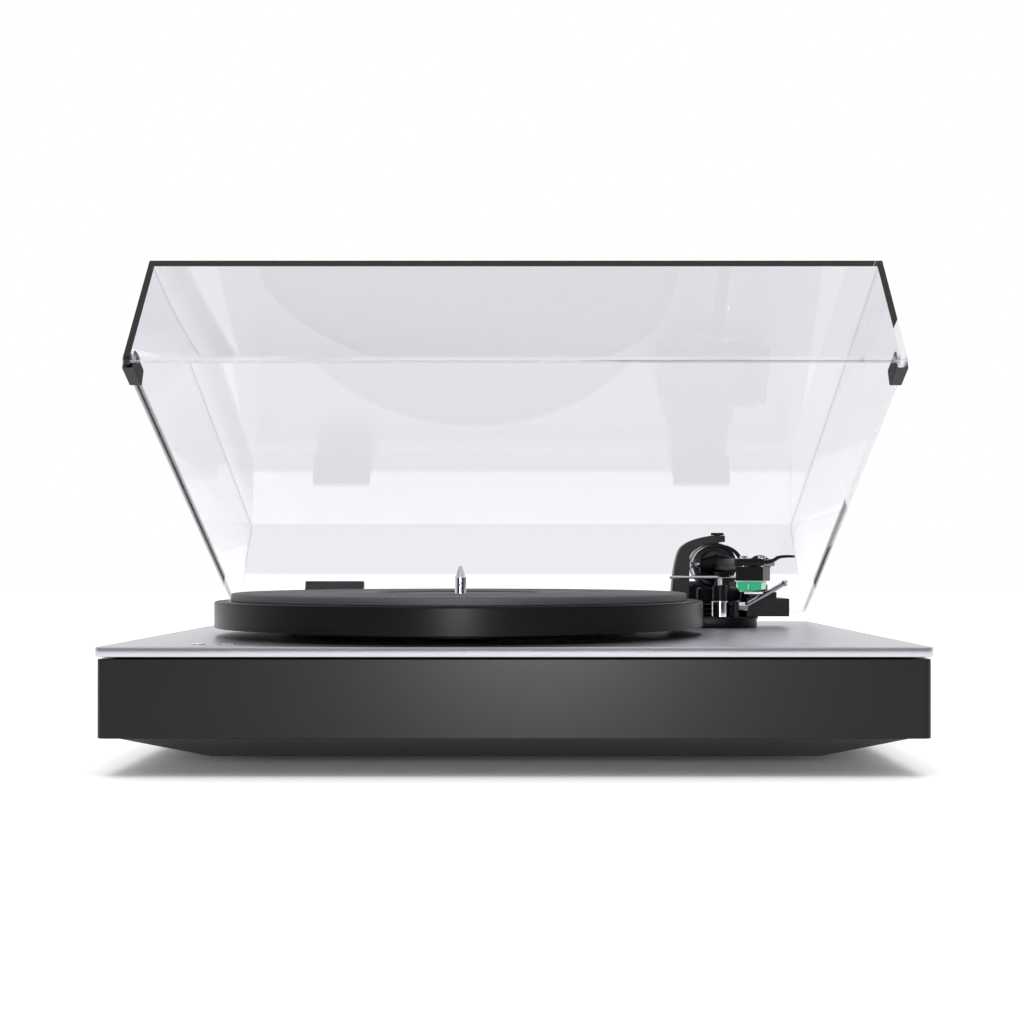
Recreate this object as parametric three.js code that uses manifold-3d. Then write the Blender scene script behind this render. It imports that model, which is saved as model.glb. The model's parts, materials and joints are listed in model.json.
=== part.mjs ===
// Belt-driven record player with a hinged clear cover, as separate pieces. Millimetres, +Z up.
// The origin is on the standing surface, midway between the plate's front edge and the rearmost point.
import * as THREE from 'three';
import { mergeVertices } from 'three/addons/utils/BufferGeometryUtils.js';
import { ConvexGeometry } from 'three/addons/geometries/ConvexGeometry.js';
import Module from 'manifold-3d';

const wasm = await Module();
wasm.setup();

// Driving dimensions
const gap = 0.3;               // clearance between pieces that rest on or in each other
const plateWidth = 435;
const plateDepth = 368;
const plateThickness = 5.3;
const plateCorner = 4;
const plateEdge = 0.8;         // rounding of the plate's edges
const shadowGap = 1;           // dark line between plate and plinth
const plinthInset = 1;
const plinthHeight = 41.2;
const plinthWall = 18;
const plinthRoof = 12;
const panInset = 8.7;
const panTaper = 41;           // how far the pan's sides lean in
const panDepth = 15;
const panWall = 2.5;
const footHeight = 5;
const footRadius = 17;
const footInsetX = 72;         // foot centre from the plate's side edge
const footInsetY = 112;        // foot centre from the plate's front or rear edge
const terminalReach = 10;      // how far the rear sockets stand behind the plate
const originBehindFront = (plateDepth + terminalReach) / 2;

const platterX = -35.7;
const platterY = 160.5;
const platterRadius = 150;
const platterLift = 5.1;       // platter skirt above the plate
const platterHeight = 15.6;
const platterTopThickness = 6;
const skirtWall = 12;
const beltRingRadius = 112;
const matRadius = 140;
const matThickness = 5;
const spindleRadius = 3.55;
const spindleAboveMat = 9;
const spindleTip = 7.4;
const shaftRadius = 5;

const coverInset = 5;          // closed cover inside the plate's front and side edges
const coverHeight = 70;
const coverDraft = 5.9;
const coverWall = 3;
const coverOpening = 25.3;     // degrees open in the stored pose
const coverPivotY = plateDepth - 9;
const coverPivotZ = 7;
const coverRimAhead = 12;      // from the pivot forward to the rear rim
const coverWidth = plateWidth - 2 * coverInset;
const coverLength = coverPivotY - coverRimAhead - coverInset;
const hingeSpacing = 280;
const hingeWidth = 44;
const pinRadius = 2;

const armX = 138.9;
const armY = 284;
const armAxisZ = 42.4;
const armReach = 215;          // pivot to the cartridge's middle
const armRestAngle = 1;        // degrees about +Z
const tubeRadius = 4.3;
const hubRadius = 6.3;
const baseRadius = 25;
const baseHeight = 7;
const collarRadius = 20.7;
const collarHeight = 9.7;
const turretRadius = 15;
const turretHeight = 9;

const pulleyRadius = 9;
const beltThickness = 1;
const beltHeight = 4;

const buttonRadius = 3.4;
const buttonX = [-169, -152.3];
const buttonY = 26;

const plateTop = footHeight + panDepth + plinthHeight + shadowGap + plateThickness;
const matTop = platterLift + platterHeight + matThickness;

// Materials
function paint(color, roughness, metalness) {
  return new THREE.MeshStandardMaterial({ color, roughness, metalness });
}
const satinAluminium = paint(0xc4c4c8, 0.35, 0.9);
const charcoal = paint(0x3a383c, 0.6, 0);
const blackPlastic = paint(0x1c1b1e, 0.45, 0);
const blackMetal = paint(0x252428, 0.4, 0.5);
const rubber = paint(0x1a191c, 0.9, 0);
const chrome = paint(0xdcdce0, 0.12, 1);
const clearAcrylic = paint(0xdcd8e4, 0.08, 0);
const green = paint(0x00b47e, 0.4, 0);
const white = paint(0xf2f2f2, 0.5, 0);
const brass = paint(0xc9a34a, 0.3, 1);
const boardGreen = paint(0x24543a, 0.6, 0);

// Turns a geometry into a closed solid with shared vertices.
function toSolid(geometry) {
  const bare = geometry.clone();
  bare.deleteAttribute('normal');
  bare.deleteAttribute('uv');
  const merged = mergeVertices(bare, 1e-4);
  const index = merged.index.array;
  const triangles = [];
  for (let i = 0; i < index.length; i += 3) {
    const [a, b, c] = [index[i], index[i + 1], index[i + 2]];
    if (a !== b && b !== c && c !== a) triangles.push(a, b, c);
  }
  const vertProperties = new Float32Array(merged.attributes.position.array);
  const triVerts = new Uint32Array(triangles);
  return new wasm.Manifold(new wasm.Mesh({ numProp: 3, vertProperties, triVerts }));
}

function toGeometry(solid) {
  const mesh = solid.getMesh();
  const geometry = new THREE.BufferGeometry();
  geometry.setAttribute('position', new THREE.BufferAttribute(mesh.vertProperties, 3));
  geometry.setIndex(new THREE.BufferAttribute(mesh.triVerts, 1));
  return geometry;
}

function join(...geometries) {
  return toGeometry(geometries.map(toSolid).reduce((whole, piece) => whole.add(piece)));
}

function cut(geometry, ...tools) {
  return toGeometry(tools.map(toSolid).reduce((whole, tool) => whole.subtract(tool), toSolid(geometry)));
}

// A box centred on x and y that stands on z.
function block(width, depth, height, x, y, z) {
  return new THREE.BoxGeometry(width, depth, height).translate(x, y, z + height / 2);
}

// A turned solid about a vertical axis: profile points are [radius, height], rising.
function turned(profile, sides, x = 0, y = 0) {
  const points = profile.map(([radius, height]) => new THREE.Vector2(radius, height));
  const geometry = new THREE.LatheGeometry(points, sides).rotateX(Math.PI / 2);
  return toGeometry(toSolid(geometry)).translate(x, y, 0);
}

function cylinder(radius, height, x, y, z, sides = 24) {
  return new THREE.CylinderGeometry(radius, radius, height, sides).rotateX(Math.PI / 2)
    .translate(x, y, z + height / 2);
}

// A cylinder along X, centred on its given place.
function crossCylinder(radius, length, x, y, z, sides = 16) {
  return new THREE.CylinderGeometry(radius, radius, length, sides).rotateZ(Math.PI / 2)
    .translate(x, y, z);
}

// A straight round rod between two points.
function rod(start, end, radius, sides) {
  const section = new THREE.Shape();
  section.absarc(0, 0, radius, 0, 2 * Math.PI);
  const line = new THREE.LineCurve3(new THREE.Vector3(...start), new THREE.Vector3(...end));
  const settings = { extrudePath: line, steps: 1, curveSegments: sides / 2, bevelEnabled: false };
  return toGeometry(toSolid(new THREE.ExtrudeGeometry(section, settings)));
}

function roundedRectangle(width, depth, corner, x, y) {
  const shape = new THREE.Shape();
  const [w, d] = [width / 2 - corner, depth / 2 - corner];
  shape.absarc(x + w, y - d, corner, -Math.PI / 2, 0);
  shape.absarc(x + w, y + d, corner, 0, Math.PI / 2);
  shape.absarc(x - w, y + d, corner, Math.PI / 2, Math.PI);
  shape.absarc(x - w, y - d, corner, Math.PI, 1.5 * Math.PI);
  return shape;
}

function slab(shape, height, z, edge = 0) {
  const settings = { depth: height - 2 * edge, bevelEnabled: edge > 0, bevelThickness: edge, bevelSize: edge,
    bevelOffset: -edge, bevelSegments: 2, curveSegments: 4 };
  return toGeometry(toSolid(new THREE.ExtrudeGeometry(shape, settings))).translate(0, 0, z + edge);
}

// A block whose top and bottom are rectangles of different inset, like a tray.
function tray(width, depth, insetTop, insetBottom, zTop, zBottom) {
  const corners = [];
  for (const [inset, z] of [[insetTop, zTop], [insetBottom, zBottom]]) {
    for (const side of [-1, 1]) {
      corners.push(new THREE.Vector3(side * (width / 2 - inset), inset, z));
      corners.push(new THREE.Vector3(side * (width / 2 - inset), depth - inset, z));
    }
  }
  return new ConvexGeometry(corners);
}

const turntable = new THREE.Group();
const deck = new THREE.Group();
deck.position.set(0, -originBehindFront, plateTop);
turntable.add(deck);

function place(group, name, geometry, material) {
  const mesh = new THREE.Mesh(geometry, material);
  mesh.name = name;
  group.add(mesh);
}

// Cabinet
const plinthTop = -plateThickness - shadowGap;
const plinthBottom = plinthTop - plinthHeight;
const panBottom = plinthBottom - panDepth;
const bearingRadius = 11;
const motorDistance = beltRingRadius + 13;   // the pulley runs between the belt ring and the skirt
const motorAngle = 0.75 * Math.PI;
const motorAt = [
  platterX + motorDistance * Math.cos(motorAngle),
  platterY + motorDistance * Math.sin(motorAngle),
];
const pulleyHole = pulleyRadius + 4;
const panelX = -60;
const panelWidth = 170;
const panelHeight = 24;
const panelZ = plinthBottom + 6;
const panelThickness = 2.5;
const plinthRear = plateDepth - plinthInset;

function makePlinth() {
  const width = plateWidth - 2 * plinthInset;
  const depth = plateDepth - 2 * plinthInset;
  const middle = plateDepth / 2;
  const body = slab(roundedRectangle(width, depth, plateCorner, 0, middle), plinthHeight, plinthBottom);
  const land = block(width - 16, depth - 16, shadowGap + 1 - gap, 0, middle, plinthTop - 1);
  const cavityHeight = plinthHeight - plinthRoof;
  const cavity = block(width - 2 * plinthWall, depth - 2 * plinthWall, cavityHeight + 1,
    0, middle, plinthBottom - 1);
  const bearingWell = cylinder(bearingRadius + gap, 60, platterX, platterY, -50);
  const motorWell = cylinder(pulleyHole, 60, ...motorAt, -50);
  const buttonWells = buttonX.map((x) => cylinder(buttonRadius + 0.6, 14, x, buttonY, -14));
  const panelMouth = block(panelWidth - 12, 60, panelHeight - 6, panelX, plinthRear, panelZ + 3);
  return cut(join(body, land), cavity, bearingWell, motorWell, ...buttonWells, panelMouth);
}

function makeTopPlate() {
  const shape = roundedRectangle(plateWidth, plateDepth, plateCorner, 0, plateDepth / 2);
  const circle = (x, y, radius) => {
    const hole = new THREE.Path();
    hole.absarc(x, y, radius, 0, 2 * Math.PI, true);
    shape.holes.push(hole);
  };
  const solid = slab(shape, plateThickness, -plateThickness, plateEdge);
  const holes = [
    cylinder(bearingRadius + gap, 20, platterX, platterY, -10),
    cylinder(pulleyHole, 20, ...motorAt, -10),
    ...buttonX.map((x) => cylinder(buttonRadius + gap, 20, x, buttonY, -10, 20)),
  ];
  return cut(solid, ...holes);
}

function makeBottomPan() {
  const outer = tray(plateWidth, plateDepth, panInset, panInset + panTaper, plinthBottom - gap, panBottom);
  const lean = panTaper / panDepth;
  const insetLow = panInset + panTaper + panWall;
  const insetHigh = insetLow - lean * (panDepth - panWall + 1);
  const inner = tray(plateWidth, plateDepth, insetHigh, insetLow, plinthBottom + 1, panBottom + panWall);
  return cut(outer, inner);
}

place(deck, 'plinth', makePlinth(), charcoal);
place(deck, 'top_plate', makeTopPlate(), satinAluminium);
place(deck, 'bottom_pan', makeBottomPan(), blackPlastic);

for (const [row, y] of [['front', footInsetY], ['rear', plateDepth - footInsetY]]) {
  for (const [side, sign] of [['left', -1], ['right', 1]]) {
    const x = sign * (plateWidth / 2 - footInsetX);
    const low = panBottom - footHeight;
    const foot = turned([[0, low], [footRadius - 1, low], [footRadius, low + 1],
      [footRadius, panBottom - gap], [0, panBottom - gap]], 24, x, y);
    place(deck, `foot_${row}_${side}`, foot, rubber);
  }
}

// Rear terminals
const panelBack = plinthRear + gap;
const panelFace = panelBack + panelThickness;
const jackX = [panelX - 70, panelX - 52];
const jackZ = panelZ + panelHeight / 2;
const groundX = panelX - 30;
const switchX = panelX + 5;
const inletX = panelX + 60;
const jackRadius = 4.2;
const jackBore = 2.6;
const postRadius = 2.3;

// A cylinder along Y whose near end is at y.
function backCylinder(radius, length, x, y, z, sides = 20) {
  return new THREE.CylinderGeometry(radius, radius, length, sides).translate(x, y + length / 2, z);
}

function makeTerminalPanel() {
  const plate = block(panelWidth, panelThickness, panelHeight,
    panelX, panelBack + panelThickness / 2, panelZ);
  const holes = [
    ...jackX.map((x) => backCylinder(jackRadius + gap, 12, x, plinthRear - 3, jackZ)),
    backCylinder(postRadius + gap, 12, groundX, plinthRear - 3, jackZ),
    block(9, 12, 4, switchX, plinthRear, jackZ - 2),
    block(13.6, 12, 11.6, inletX, plinthRear, jackZ - 5.8),
  ];
  return cut(plate, ...holes);
}

place(deck, 'terminal_panel', makeTerminalPanel(), blackPlastic);
for (const [i, side] of ['left', 'right'].entries()) {
  const shell = backCylinder(jackRadius, 14, jackX[i], panelFace - 6, jackZ);
  const socket = backCylinder(jackBore, 10, jackX[i], panelFace - 1.5, jackZ);
  place(deck, `output_jack_${side}`, cut(shell, socket), brass);
}
place(deck, 'ground_post', backCylinder(postRadius, 13, groundX, panelFace - 6, jackZ, 16), brass);
const nut = backCylinder(4.6, 4.5, groundX, panelFace + gap, jackZ, 16);
const nutBore = backCylinder(postRadius + gap, 12, groundX, panelFace - 3, jackZ, 16);
place(deck, 'ground_nut', cut(nut, nutBore), brass);
const switchKnob = block(3, 6, 3, switchX - 2.5, panelFace - 1.5, jackZ - 1.5);
place(deck, 'output_switch', switchKnob, blackPlastic);
const inletBlock = block(13, 12, 11, inletX, panelFace - 5, jackZ - 5.5);
const inletBore = backCylinder(3, 12, inletX, panelFace - 8, jackZ);
place(deck, 'power_inlet', cut(inletBlock, inletBore), blackPlastic);

// Drive
const cavityTop = plinthTop - plinthRoof;
const mountThickness = 2.5;
const motorTop = cavityTop - 2 * gap - mountThickness;
const boardZ = plinthBottom + 8;
const boardAt = [-20, plateDepth - 63];
const bearingBottom = plinthBottom + 3;
const bearingFloor = bearingBottom + 4;
const ballRadius = 2.5;
const shaftBottom = bearingFloor + 2 * gap + 2 * ballRadius;

const bearingBore = shaftRadius + 0.06;
const bearingFlange = 24;
const flangeTop = 2.6;
const bearing = turned([[0, bearingBottom], [bearingRadius, bearingBottom], [bearingRadius, gap],
  [bearingFlange, gap], [bearingFlange, flangeTop], [bearingBore, flangeTop],
  [bearingBore, bearingFloor], [0, bearingFloor]], 32, platterX, platterY);
place(deck, 'main_bearing', bearing, brass);
const ball = new THREE.SphereGeometry(ballRadius, 10, 6)
  .translate(platterX, platterY, bearingFloor + gap + ballRadius);
place(deck, 'thrust_ball', toGeometry(toSolid(ball)), chrome);

const mount = block(70, 60, mountThickness, ...motorAt, cavityTop - gap - mountThickness);
place(deck, 'motor_bracket', cut(mount, cylinder(6, 9, ...motorAt, cavityTop - 6)), blackMetal);
const motorHeight = 22;
place(deck, 'motor', cylinder(24, motorHeight, ...motorAt, motorTop - motorHeight, 28), blackMetal);
const beltLow = 3;
const wheelTop = beltLow + beltHeight + 1;
const flange = pulleyRadius + 0.7;
const pulley = turned([[0, motorTop + gap], [1.5, motorTop + gap], [1.5, 1.8], [flange, 1.8], [flange, 2.4],
  [pulleyRadius, 2.6], [pulleyRadius, wheelTop - 0.6], [flange, wheelTop - 0.3], [flange, wheelTop],
  [0, wheelTop]], 24, ...motorAt);
place(deck, 'motor_pulley', pulley, brass);

function beltOutline(shape, offset) {
  const reach = Math.acos((beltRingRadius - pulleyRadius) / motorDistance);
  const [from, to] = [motorAngle + reach, motorAngle - reach + 2 * Math.PI];
  shape.absarc(platterX, platterY, beltRingRadius + gap + offset, from, to, false);
  shape.absarc(...motorAt, pulleyRadius + gap + offset, motorAngle - reach, motorAngle + reach, false);
  return shape;
}
const beltShape = beltOutline(new THREE.Shape(), beltThickness);
beltShape.holes.push(beltOutline(new THREE.Path(), 0));
const beltSettings = { depth: beltHeight, bevelEnabled: false, curveSegments: 20 };
const belt = toGeometry(toSolid(new THREE.ExtrudeGeometry(beltShape, beltSettings))).translate(0, 0, beltLow);
place(deck, 'drive_belt', belt, rubber);

const board = block(110, 60, 1.6, ...boardAt, boardZ);
const parts = [
  block(24, 20, 12, boardAt[0] - 30, boardAt[1], boardZ + 1),
  block(16, 16, 8, boardAt[0] + 10, boardAt[1] + 8, boardZ + 1),
];
for (let i = 0; i < 4; i += 1) {
  parts.push(cylinder(3, 9, boardAt[0] + 15 + 9 * i, boardAt[1] - 18, boardZ + 1, 12));
}
place(deck, 'circuit_board', join(board, ...parts), boardGreen);

// Buttons
for (const [i, name] of ['power_button', 'speed_button'].entries()) {
  place(deck, name, cylinder(buttonRadius, 9.6, buttonX[i], buttonY, -9, 24), chrome);
}

// Platter
const skirtLow = platterLift;
const platterTop = platterLift + platterHeight;
const platterUnder = platterTop - platterTopThickness;
const bore = shaftRadius + gap;
const rimEase = 0.7;
const bossRadius = 18;
const bossLow = 8;
const ringInner = beltRingRadius - 5;
const ringLow = 1.5;
const platter = turned([[platterRadius, skirtLow], [platterRadius, platterTop - rimEase],
  [platterRadius - rimEase, platterTop], [bore, platterTop], [bore, bossLow], [bossRadius, bossLow],
  [bossRadius, platterUnder], [ringInner, platterUnder], [ringInner, ringLow],
  [beltRingRadius, ringLow], [beltRingRadius, platterUnder],
  [platterRadius - skirtWall, platterUnder], [platterRadius - skirtWall, skirtLow],
  [platterRadius, skirtLow]], 64, platterX, platterY);
place(deck, 'platter', platter, blackMetal);

const labelRadius = 51.5;
const matLow = platterTop + gap;
const matBore = spindleRadius + 0.6;
const mat = turned([[matRadius, matLow], [matRadius, matTop - 1.2],
  [matRadius - 1, matTop - 0.3], [matRadius - 4, matTop],
  [92, matTop], [91, matTop - 0.5], [81, matTop - 0.5], [80, matTop], [labelRadius + 1, matTop],
  [labelRadius, matTop - 1], [matBore, matTop - 1], [matBore, matLow], [matRadius, matLow]],
56, platterX, platterY);
place(deck, 'mat', mat, rubber);

const coneBase = matTop + spindleAboveMat;
const spindle = turned([[0, shaftBottom], [shaftRadius, shaftBottom], [shaftRadius, platterTop - 0.2],
  [spindleRadius, platterTop - 0.2], [spindleRadius, coneBase], [1, coneBase + spindleTip],
  [0, coneBase + spindleTip]], 24, platterX, platterY);
place(deck, 'spindle', spindle, chrome);

// Dust cover: drawn closed about its hinge axis, then opened
const rimZ = -5.5;             // cover rim below the hinge axis
const cover = new THREE.Group();
cover.position.set(0, coverPivotY, coverPivotZ);
cover.rotation.x = -THREE.MathUtils.degToRad(coverOpening);
deck.add(cover);
const rimFront = -coverRimAhead - coverLength;
const leafThickness = 5;
const knuckleRadius = 5;
const neckWidth = 17;
const bumperLength = 17.6;
const bumperWidth = 7;
const bumperFromFront = 6.6;

function makeCover() {
  const top = rimZ + coverHeight;
  const outer = tray(coverWidth, coverLength, coverDraft, 0, top, rimZ);
  const innerDraft = coverDraft * (1 - coverWall / coverHeight);
  const inner = tray(coverWidth, coverLength, coverWall + innerDraft, coverWall, top - coverWall, rimZ);
  const mouth = block(coverWidth - 2 * coverWall, coverLength - 2 * coverWall, 2,
    0, coverLength / 2, rimZ - 1.99);
  return cut(outer, inner, mouth).translate(0, rimFront, 0);
}
place(cover, 'dust_cover', makeCover(), clearAcrylic);

for (const [side, sign] of [['left', -1], ['right', 1]]) {
  const wallX = sign * (coverWidth / 2 - coverWall / 2);
  const y = rimFront + bumperFromFront + bumperLength / 2;
  const body = block(bumperWidth, bumperLength, 10.2, wallX - sign * 0.3, y, rimZ - 1.2);
  const slot = block(coverWall + 2 * gap + 0.9, bumperLength + 2, 20, wallX - sign * 0.3, y, rimZ - gap);
  place(cover, `bumper_${side}`, cut(body, slot), rubber);

  const x = sign * hingeSpacing / 2;
  const leafY = -coverRimAhead + gap + leafThickness / 2;
  const leaf = block(hingeWidth, leafThickness, 24, x, leafY, rimZ + 1.5);
  const arms = [-1, 1].map((end) => {
    const armX0 = x + end * (neckWidth / 2 + gap + (hingeWidth - neckWidth - 2 * gap) / 4);
    const width = (hingeWidth - neckWidth - 2 * gap) / 2;
    return join(block(width, -leafY, 2 * knuckleRadius - 4, armX0, leafY / 2, -knuckleRadius + 2),
      crossCylinder(knuckleRadius, width, armX0, 0, 0));
  });
  const pinHole = crossCylinder(pinRadius + gap, hingeWidth + 4, x, 0, 0);
  place(cover, `hinge_leaf_${side}`, cut(join(leaf, ...arms), pinHole), blackMetal);

  const neck = block(neckWidth, 9, coverPivotZ - gap, x, coverPivotY - 0.4, gap);
  const barrel = crossCylinder(knuckleRadius, neckWidth, x, coverPivotY, coverPivotZ);
  const fixedHole = crossCylinder(pinRadius + gap, hingeWidth, x, coverPivotY, coverPivotZ);
  place(deck, `hinge_base_${side}`, cut(join(neck, barrel), fixedHole), blackMetal);
  const pin = crossCylinder(pinRadius, hingeWidth - 2, x, coverPivotY, coverPivotZ);
  place(deck, `hinge_pin_${side}`, pin, chrome);
}

// Tonearm base, fixed to the plate
const footX = 133;
const footFrontY = 234;
const footRearY = 310;
const footTop = gap + baseHeight;
const collarAt = [138, 268];
const collarTop = footTop + gap + collarHeight;
const turretAt = [armX, armY - 6];
const turretTop = collarTop + gap + turretHeight;
const liftAt = [135.5, 241];
const liftRadius = 5.6;
const leverAt = [151, 240, 14.2];
const plungerRadius = 1.5;

function makeArmBase() {
  const shape = roundedRectangle(60, footRearY - footFrontY, baseRadius, footX, (footFrontY + footRearY) / 2);
  const foot = slab(shape, baseHeight, gap, 0.6);
  const restBlock = block(29, 40, 12.2, 169.5, 270, footTop);
  const restStep = block(22, 26, 4.4, 166.5, 277, footTop + 12);
  const tie = block(24, 30, 3, 152, 275, footTop - 2);
  const round = cylinder(collarRadius + gap, 60, ...collarAt, footTop, 28);
  const rest = cut(join(restBlock, restStep), round);
  const leverPost = block(3, 6, 11, leverAt[0] - 5, leverAt[1], footTop - 1);
  return join(foot, rest, cut(tie, round), leverPost);
}
place(deck, 'arm_base', makeArmBase(), blackPlastic);

const ridge = 0.8;
const collarProfile = [[0, footTop + gap]];
for (let i = 0; i < 3; i += 1) {
  const z = footTop + gap + i * collarHeight / 3;
  collarProfile.push([collarRadius, z], [collarRadius, z + collarHeight / 6]);
  collarProfile.push([collarRadius - ridge, z + collarHeight / 6 + 0.2]);
  collarProfile.push([collarRadius - ridge, z + collarHeight / 3 - 0.2]);
}
collarProfile.push([collarRadius - ridge, collarTop], [0, collarTop]);
const liftRoom = cylinder(liftRadius + gap, 60, ...liftAt, 0);
place(deck, 'arm_collar', cut(turned(collarProfile, 28, ...collarAt), liftRoom), chrome);

const turretBody = turned([[0, collarTop + gap], [turretRadius, collarTop + gap],
  [turretRadius, turretTop - 1], [turretRadius - 1, turretTop], [0, turretTop]], 36, ...turretAt);
const cradleY = armY - 19;
const cradleTop = armAxisZ - tubeRadius - gap;
const cradle = block(10, 3, cradleTop - turretTop + 2, armX + 1, cradleY, turretTop - 2);
place(deck, 'arm_turret', join(turretBody, cradle), blackPlastic);

// The bridge arches from its leg on the left to the pivot screw above the arm.
function makeBridge() {
  const shape = new THREE.Shape();
  const [left, top] = [-33.4, 20.6];
  const low = footTop + gap - armAxisZ;
  shape.moveTo(left, low);
  shape.quadraticCurveTo(left + 1.5, 4, left + 7, 12);
  shape.quadraticCurveTo(left + 12, top - 2.5, -5, top);
  shape.lineTo(4.6, top);
  shape.lineTo(4.6, top - 4.4);
  shape.quadraticCurveTo(-16, top - 5, -20, 6);
  shape.lineTo(-21, low);
  shape.closePath();
  const settings = { depth: 14, bevelEnabled: false, curveSegments: 8 };
  const arch = new THREE.ExtrudeGeometry(shape, settings).rotateX(Math.PI / 2)
    .translate(armX, armY + 7, armAxisZ);
  return cut(arch, cylinder(2 + gap, 40, armX, armY, armAxisZ + 8, 20));
}
place(deck, 'arm_bridge', makeBridge(), blackMetal);

const ringHalfWidth = 18;
const ringHalfHeight = 14.7;
const ringThickness = 1.8;
const ringDepth = 8;
const ringTop = armAxisZ + ringHalfHeight;
const screwTop = armAxisZ + 22.6;
const pivotScrew = turned([[0, ringTop + gap], [2, ringTop + 1.6], [2, armAxisZ + 20.9],
  [4.6, armAxisZ + 20.9], [4.6, screwTop], [0, screwTop]], 24, armX, armY);
place(deck, 'pivot_screw', pivotScrew, blackMetal);

// Arm lift
const sleeveTop = footTop + 21.4;
const cylinderTop = footTop + 10.8;
const liftCylinder = cylinder(liftRadius, cylinderTop - footTop - gap, ...liftAt, footTop + gap);
const plungerWell = cylinder(plungerRadius + gap, 9, ...liftAt, cylinderTop - 8, 16);
place(deck, 'lift_cylinder', cut(liftCylinder, plungerWell), chrome);
const sleeve = cylinder(liftRadius - 0.6, sleeveTop - cylinderTop - gap, ...liftAt, cylinderTop + gap);
const sleeveBore = cylinder(plungerRadius + gap, 60, ...liftAt, 0, 16);
place(deck, 'lift_sleeve', cut(sleeve, sleeveBore), blackPlastic);
const railZ = 34.1;
const railRadius = 1;
const railLength = 46;
const railMiddle = liftAt[0] - 11;
const plungerDepth = 3.4;
const plungerLow = cylinderTop - plungerDepth;
const plunger = cylinder(plungerRadius, railZ - plungerLow, ...liftAt, plungerLow, 16);
const rail = crossCylinder(railRadius, railLength, railMiddle, liftAt[1], railZ, 12);
place(deck, 'lift_rail', join(plunger, rail), chrome);

const leverTip = [177, 226, 30.5];
const leverRod = rod(leverAt, leverTip, 1.7, 12);
const leverEnd = new THREE.SphereGeometry(2.3, 10, 6).translate(...leverTip);
const leverHub = crossCylinder(3, 6, ...leverAt, 20);
place(deck, 'cue_lever', join(leverRod, leverEnd, leverHub), chrome);

const clipAt = [armX + 7.1, cradleY - 3 - gap];
place(deck, 'rest_clip', block(1.6, 3, 12, ...clipAt, armAxisZ - 8), blackPlastic);
const knobAt = [166.5, 279];
place(deck, 'antiskate_knob', cylinder(7, 5, ...knobAt, footTop + 16.4 + gap, 32), blackPlastic);

// Swinging yoke, about the vertical axis through the pivot
const yoke = new THREE.Group();
yoke.position.set(armX, armY, armAxisZ);
yoke.rotation.z = THREE.MathUtils.degToRad(armRestAngle);
deck.add(yoke);

function ellipseRing(halfWidth, halfHeight) {
  const shape = new THREE.Shape();
  shape.absellipse(0, 0, halfWidth, halfHeight, 0, 2 * Math.PI);
  return shape;
}
const ringShape = ellipseRing(ringHalfWidth, ringHalfHeight);
ringShape.holes.push(ellipseRing(ringHalfWidth - ringThickness, ringHalfHeight - ringThickness));
const ringSettings = { depth: ringDepth, bevelEnabled: false, curveSegments: 16 };
const ring = new THREE.ExtrudeGeometry(ringShape, ringSettings).rotateX(Math.PI / 2)
  .translate(0, ringDepth / 2, 0);
const screwRadius = 2.2;
const screwHoles = crossCylinder(screwRadius + gap, 60, 0, 0, 0);
place(yoke, 'gimbal_ring', cut(ring, screwHoles), chrome);
const hubHalf = 12.5;
const shankFrom = hubHalf + gap;
const shankTo = ringHalfWidth + 3 * gap;
for (const [side, sign] of [['left', -1], ['right', 1]]) {
  const shank = crossCylinder(screwRadius, shankTo - shankFrom, sign * (shankFrom + shankTo) / 2, 0, 0);
  place(yoke, `bearing_screw_${side}`, toGeometry(toSolid(shank)), chrome);
}

// Tilting beam: everything that the horizontal bearings carry
const tubeFront = -176;
const stubRear = 40;
const weightRadius = 16;
const weightLength = 22;
const dialRadius = 12;
const dialLength = 5;
const dialFrom = 8;            // behind the pivot
const headAt = -190;
const headOffset = -22;
const collarLength = 9;
const slabThickness = 4.1;
const tubeBore = tubeRadius - 1.3;
const stubRadius = tubeRadius - 0.5;

// A cylinder along Y between two places.
function beamCylinder(radius, from, to, sides = 24) {
  return new THREE.CylinderGeometry(radius, radius, to - from, sides).translate(0, (from + to) / 2, 0);
}

function makeArmTube() {
  const halves = [-1, 1].map((sign) => (
    new THREE.CylinderGeometry(hubRadius - 1.5, hubRadius + 2, hubHalf, 28)
      .rotateZ(-sign * Math.PI / 2).translate(sign * hubHalf / 2, 0, 0)));
  const tube = beamCylinder(tubeRadius, tubeFront, 0);
  const stub = beamCylinder(stubRadius, 0, stubRear);
  const bore = beamCylinder(tubeBore, tubeFront - 1, stubRear + 1, 16);
  return cut(join(...halves, tube, stub), bore);
}
place(yoke, 'arm_tube', makeArmTube(), blackMetal);

const weightFrom = dialFrom + dialLength + gap;
const stubRoom = beamCylinder(stubRadius + gap, 0, stubRear + 20);
const weight = beamCylinder(weightRadius, weightFrom, weightFrom + weightLength, 32);
place(yoke, 'counterweight', cut(weight, stubRoom), blackMetal);
const dial = beamCylinder(dialRadius, dialFrom, dialFrom + dialLength, 32);
place(yoke, 'counterweight_dial', cut(dial, stubRoom), blackPlastic);

const neckRadius = tubeBore - gap;
const headCollar = cut(beamCylinder(tubeRadius + 1.5, tubeFront - gap - collarLength, tubeFront - gap),
  beamCylinder(tubeBore, -200, -100));
place(yoke, 'headshell_collar', headCollar, blackMetal);

const head = new THREE.Group();
head.position.set(0, headAt, 0);
head.rotation.z = THREE.MathUtils.degToRad(headOffset);
yoke.add(head);
const slabWidth = 17;
const boltX = 5.2;
const boltRadius = 1.3;
const slabLength = 30;
const slabLow = -0.6;
const slabFront = -slabLength - 6;
const bodyMiddle = slabFront + 12;

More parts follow.
